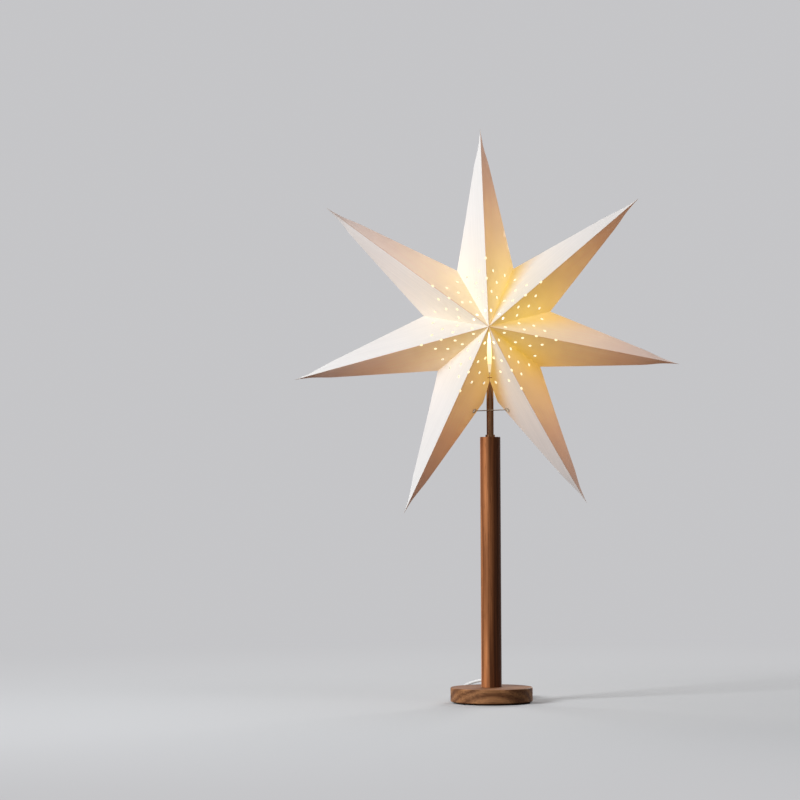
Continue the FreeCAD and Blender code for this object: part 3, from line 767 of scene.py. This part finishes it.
# %% Thread, felt and plastic
def moulded(name, colour, roughness, scale, strength, contrast=0.06, specular=0.4):
    """Plain stuff with one small pattern: a noise that tints the colour a little and raises a faint bump."""
    made, shader = start_material(name, colour, roughness, 0.0, specular)
    here = add(made, "ShaderNodeTexCoord").outputs["Object"]
    grain = noise(made, here, scale, 5.0, 0.6)
    shade = ramp(made, grain, [(0.3, grey(1.0 - contrast)), (0.7, grey(1.0))])
    wire(made.node_tree, shader.inputs["Base Color"], tint(made, (*colour, 1.0), shade))
    bump = add(made, "ShaderNodeBump", {"Height": grain, "Strength": strength, "Distance": 0.0004})
    wire(made.node_tree, shader.inputs["Normal"], bump.outputs[0])
    return made


thread = moulded("dark_thread", (0.22, 0.14, 0.09), 0.9, 1800.0, 0.5, 0.5, 0.1)
string = moulded("tie_string_thread", (0.70, 0.57, 0.46), 0.85, 1500.0, 0.5, 0.4, 0.1)
felt = moulded("pad_felt", (0.06, 0.05, 0.045), 0.95, 900.0, 0.8, 0.5, 0.05)
holder_plastic = moulded("holder_plastic", (0.78, 0.75, 0.70), 0.45, 700.0, 0.08)
eyelet_enamel = moulded("eyelet_enamel", (0.86, 0.76, 0.64), 0.40, 900.0, 0.05)
cord_plastic = moulded("cord_plastic", (0.86, 0.85, 0.83), 0.42, 900.0, 0.06)
plug_plastic = moulded("plug_plastic", (0.80, 0.79, 0.76), 0.38, 800.0, 0.08)
dress(thread, "seam_stitches")
dress(string, "tie_string")
dress(eyelet_enamel, "tie_eyelets")
dress(felt, "floor_pad_1", "floor_pad_2", "floor_pad_3", "floor_pad_4")
dress(holder_plastic, "holder_cap", "holder_core")
dress(cord_plastic, "inner_cable", "strain_relief")
dress(plug_plastic, "plug_body")
print("small stuff is dressed")

# %% [markdown]
# The skirt of the lamp holder is thin pale plastic close under the bulb. Light comes through it, most near
# its top.

# %% Glowing skirt
skirt_low, skirt_high = (float(corner[2]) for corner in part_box("holder_skirt"))
skirt_plastic = moulded("skirt_plastic", (0.80, 0.74, 0.64), 0.45, 700.0, 0.08)
shader = skirt_plastic.node_tree.nodes["Principled BSDF"]
here = add(skirt_plastic, "ShaderNodeTexCoord").outputs["Object"]
height = add(skirt_plastic, "ShaderNodeSeparateXYZ", {"Vector": here}).outputs["Z"]
rise = add(skirt_plastic, "ShaderNodeMapRange", {
    "Value": height, "From Min": skirt_low - 0.012, "From Max": skirt_high,
}).outputs["Result"]
wire(skirt_plastic.node_tree, shader.inputs["Emission Color"], ramp(skirt_plastic, rise, [
    (0.0, (0.50, 0.26, 0.06)), (0.5, (0.86, 0.58, 0.22)), (1.0, (1.0, 0.84, 0.50)),
]))
shader.inputs["Emission Strength"].default_value = 1.0
dress(skirt_plastic, "holder_skirt")
print("skirt from", round(skirt_low, 3), "to", round(skirt_high, 3))

# %% [markdown]
# The bulb is a glass globe over a screw cap. A surface of revolution is one profile swept round an axis,
# and a thread is the same surface with a sine added to its radius that climbs as it turns.

# %% Bulb
turned_sides = 48


def turned(name, profile, made, thread_depth=0.0, thread_pitch=0.003):
    """Profile of (radius, height) swept round Z. With a thread, the radius gains a sine of the turn minus the
    height over the pitch, fading out at both ends. The first and last rings close on the axis."""
    sides = turned_sides
    radius, height = np.array(profile, float).T
    turn = np.arange(sides) * 2 * math.pi / sides
    fade = np.clip(np.minimum(height - height[0], height[-1] - height) / thread_pitch - 0.5, 0.0, 1.0)
    wave = thread_depth * fade[:, None] * np.sin(turn[None] - 2 * math.pi * height[:, None] / thread_pitch)
    wide = radius[:, None] + wave
    grid = np.stack([wide * np.cos(turn), wide * np.sin(turn), np.repeat(height[:, None], sides, 1)], -1)
    ring = np.arange(sides)
    rows = np.arange(len(radius) - 1)[:, None] * sides
    after = (ring + 1) % sides
    quads = np.stack([rows + ring, rows + after, rows + sides + after, rows + sides + ring], -1)
    places = np.concatenate([grid.reshape(-1, 3), [[0, 0, height[0]], [0, 0, height[-1]]]])
    low, high = len(places) - 2, len(places) - 1
    last = (len(radius) - 1) * sides
    faces = quads.reshape(-1, 4).tolist()
    faces += [[low, (i + 1) % sides, i] for i in range(sides)]
    faces += [[high, last + i, last + (i + 1) % sides] for i in range(sides)]
    piece = new_piece(name, places, faces, [made])
    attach(piece, "root")
    return piece


bulb_low, bulb_high = (float(corner[2]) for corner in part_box("bulb"))
globe_radius = 0.0225
globe_middle = bulb_high - globe_radius
cap_radius = 0.0066
thread_low, cap_top, neck_top = bulb_low + 0.0032, bulb_low + 0.0200, bulb_low + 0.0215
glass, shader = start_material("lit_glass", (0.95, 0.90, 0.80), 0.25, 0.0, 0.5)
here = add(glass, "ShaderNodeTexCoord").outputs["Object"]
haze = noise(glass, here, 60.0, 3.0)
wire(glass.node_tree, shader.inputs["Emission Color"], ramp(glass, haze, [
    (0.3, (1.0, 0.84, 0.55)), (0.7, (1.0, 0.90, 0.66)),
]))
shader.inputs["Emission Strength"].default_value = 1.6

join = math.radians(45)
sweep = np.linspace(join, math.radians(178), 28)
globe = [(globe_radius * math.sin(a), globe_middle - globe_radius * math.cos(a)) for a in sweep]
bulb_glass = turned("bulb_glass", [(0.0082, cap_top), (0.0083, neck_top)] + globe, glass)
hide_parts("bulb")
cap_heights = np.linspace(thread_low, cap_top, 43)
cap_profile = [(0.0015, bulb_low), (0.0045, bulb_low + 0.0016)] + [(cap_radius, z) for z in cap_heights]
bulb_cap = turned("bulb_screw_cap", cap_profile, nickel, 0.0003, 0.0028)
print("bulb from", round(bulb_low, 4), "to", round(bulb_high, 4))

# %% [markdown]
# The cord is one smooth curve through listed points. It leaves the pole, comes down behind the base, runs
# round a neat coil of four layers and ends in the plug. The curve cuts inside its control points by the
# cosine of half their spacing, so the coil's points stand a little outside its true radius.

# %% Cord
# Points and radii in millimetres.
lead_route = [
    (0.0, 14.25, 30.0), (0.0, 42.25, 30.0), (-20.5, 61.5, 26.5), (-39.0, 74.5, 18.0), (-41.0, 94.0, 6.0),
]
tail_route = [
    (-18.0, 151.0, 11.5), (3.0, 160.5, 6.5), (26.0, 157.0, 2.2), (40.0, 138.0, 6.85), (40.0, 115.0, 6.85),
]
coil_centre = (-12.0, 114.0)
layer_turns, layer_count, points_per_turn = 2.78125, 4, 16
outer_turn, inner_turn = 28.0, 16.875
cord_diameter = 0.004
layer_height = cord_diameter * 1000
climb_turns = 0.19

turned_by = np.arange(0.0, layer_turns * layer_count + 1e-6, 1 / points_per_turn)
layer = np.minimum(turned_by // layer_turns, layer_count - 1)
into = turned_by - layer * layer_turns
share = into / layer_turns
inward = layer % 2 == 0
inward_radius = outer_turn + (inner_turn - outer_turn) * share
outward_radius = inner_turn + (outer_turn - inner_turn) * share
turn_radius = np.where(inward, inward_radius, outward_radius)
turn_radius = turn_radius / math.cos(math.pi / points_per_turn)
level = layer_height / 2 + layer_height * layer
climb = smooth_step((into - (layer_turns - climb_turns)) / climb_turns) * layer_height
level = level + np.where(layer < layer_count - 1, climb, 0.0)
heading = math.pi - 2 * math.pi * turned_by
coil = np.stack([
    coil_centre[0] + turn_radius * np.cos(heading), coil_centre[1] + turn_radius * np.sin(heading), level,
], -1)
route = np.concatenate([lead_route, coil, tail_route]) / 1000.0

curve = bpy.data.curves.new("mains_cord", "CURVE")
curve.dimensions = "3D"
line = curve.splines.new("NURBS")
line.points.add(len(route) - 1)
line.points.foreach_set("co", np.column_stack([route, np.ones(len(route))]).ravel())
line.order_u = 3
line.use_endpoint_u = True
line.resolution_u = 4
curve.bevel_depth = cord_diameter / 2
curve.bevel_resolution = 4
curve.use_fill_caps = True
curve.materials.append(cord_plastic)
cord = bpy.data.objects.new("mains_cord", curve)
scene.collection.objects.link(cord)
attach(cord, "root")
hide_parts("cord_lead", "cord_coil", "cord_tail")
print("cord points", len(route))

# %% [markdown]
# The floor is a wide pale disc that fades to the colour of the world at a distance, so no edge or horizon
# shows. The world and the floor are pale to the eye and in metal, but give little light, because the glow
# of the paper only shows in a dim room.

# %% Floor and world
backdrop = (0.56, 0.56, 0.575, 1.0)
room_light = 0.05
fade_start, fade_end = 0.15, 1.5
plain_floor = (0.04, 0.04, 0.04, 1.0)


def eye_rays(made):
    """One for rays that the camera, a mirror or a glass sends out, and zero for rays that gather light."""
    path = add(made, "ShaderNodeLightPath")
    mirrored = maths(made, "MAXIMUM", path.outputs["Is Glossy Ray"], path.outputs["Is Transmission Ray"])
    return maths(made, "MAXIMUM", path.outputs["Is Camera Ray"], mirrored)


floor_sides = 64
floor_turn = np.arange(floor_sides) * 2 * math.pi / floor_sides
floor_rings = np.array([0.3, 1.0, 2.0, 4.0, 8.0, 20.0, 60.0])
grid = np.stack([
    floor_rings[:, None] * np.cos(floor_turn), floor_rings[:, None] * np.sin(floor_turn),
    np.zeros((len(floor_rings), floor_sides)),
], -1).reshape(-1, 3)
ring = np.arange(floor_sides)
after = (ring + 1) % floor_sides
rows = np.arange(len(floor_rings) - 1)[:, None] * floor_sides
floor_quads = np.stack([rows + ring, rows + floor_sides + ring, rows + floor_sides + after, rows + after], -1)
floor_faces = floor_quads.reshape(-1, 4).tolist() + [ring.tolist()]

floor_paint, shader = start_material("floor_paint", (0.70, 0.70, 0.71), 0.9, 0.0, 0.0)
tree = floor_paint.node_tree
here = add(floor_paint, "ShaderNodeTexCoord").outputs["Object"]
spread = add(floor_paint, "ShaderNodeVectorMath", {0: here}, operation="LENGTH").outputs["Value"]
fade = add(floor_paint, "ShaderNodeMapRange", {
    "Value": spread, "From Min": fade_start, "From Max": fade_end,
}, interpolation_type="SMOOTHSTEP").outputs["Result"]
looked_at = eye_rays(floor_paint)
plain = add(floor_paint, "ShaderNodeBsdfDiffuse", {"Color": plain_floor}).outputs[0]
air = add(floor_paint, "ShaderNodeEmission", {"Color": backdrop, "Strength": 1.0}).outputs[0]
shown = add(floor_paint, "ShaderNodeMixShader", {0: fade, 1: shader.outputs[0], 2: air}).outputs[0]
mixed = add(floor_paint, "ShaderNodeMixShader", {0: looked_at, 1: plain, 2: shown}).outputs[0]
wire(tree, tree.nodes["Material Output"].inputs["Surface"], mixed)
floor = new_piece("floor", grid, floor_faces, [floor_paint])

world = bpy.data.worlds.new("pale_room")
world.use_nodes = True
scene.world = world
tree = world.node_tree
looked_at = eye_rays(world)
pale = add(world, "ShaderNodeBackground", {"Color": backdrop, "Strength": 1.0}).outputs[0]
dim = add(world, "ShaderNodeBackground", {"Color": (0.95, 0.97, 1.0, 1.0), "Strength": room_light}).outputs[0]
mixed = add(world, "ShaderNodeMixShader", {0: looked_at, 1: dim, 2: pale}).outputs[0]
wire(tree, tree.nodes["World Output"].inputs["Surface"], mixed)
print("floor and world are set")

# %% [markdown]
# One large soft lamp stands far to the left and a little above, as in the photograph, with a weak fill from
# the upper right. Two more behind the lamp light its far side for anyone who walks round it. A square lamp
# of power P lights a white surface at distance d to P / (pi d)^2, which gives each power from the level
# that is wanted.

# %% Studio light
lit_place = Vector((0.0, 0.0, 0.45))


def soft_lamp(name, way, distance, size, level, colour):
    """A square area lamp that stands along a way from the star and gives white paper a level there."""
    way = Vector(way).normalized()
    light = bpy.data.lights.new(name, "AREA")
    light.shape = "SQUARE"
    light.size = size
    light.energy = level * (math.pi * distance) ** 2
    light.color = colour
    lamp = bpy.data.objects.new(name, light)
    turn = way.to_track_quat("Z", "Y").to_matrix().to_4x4()
    lamp.matrix_world = Matrix.Translation(lit_place + way * distance) @ turn
    lamp.visible_camera = False
    scene.collection.objects.link(lamp)
    print(name, "power", round(light.energy, 1))


for name, (way, distance, size, level, colour) in lamps.items():
    soft_lamp(name, way, distance, size, level, colour)
